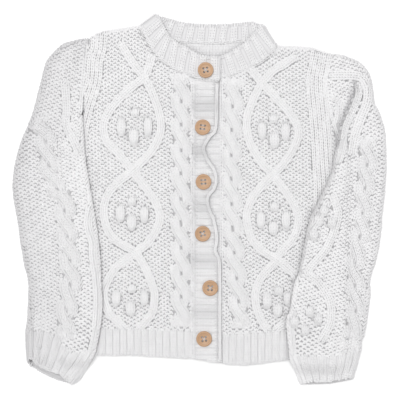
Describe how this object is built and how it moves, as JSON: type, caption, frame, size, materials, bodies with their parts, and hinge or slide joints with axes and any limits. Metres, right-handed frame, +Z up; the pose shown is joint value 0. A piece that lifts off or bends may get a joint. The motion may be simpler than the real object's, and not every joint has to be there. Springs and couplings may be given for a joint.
{
  "type": "baby cardigan",
  "caption": "Baby cardigan in off-white Aran knit with rope cables, a bobble diamond trellis, ribbed edges and wooden buttons, buttoned and laid flat.",
  "frame": {"origin": "on the surface that the cardigan lies on, under the centre of its bounding box", "axes": "+Z up off the surface, +Y towards the neck, +X towards the wearer's left, which is the viewer's right"},
  "size_m": [0.358, 0.3546, 0.0163],
  "materials": {
    "wool_knit": "matt off-white wool yarn, hand knitted",
    "button_wood": "turned pale beech, satin"
  },
  "bodies": {
    "root": {"back": "wool_knit", "right_front": "wool_knit", "left_front": "wool_knit", "right_sleeve": "wool_knit", "left_sleeve": "wool_knit", "neckband": "wool_knit", "buttonhole_band": "wool_knit", "button_band": "wool_knit", "button_1": "button_wood", "button_2": "button_wood", "button_3": "button_wood", "button_4": "button_wood", "button_5": "button_wood", "button_6": "button_wood"}
  },
  "joints": []
}
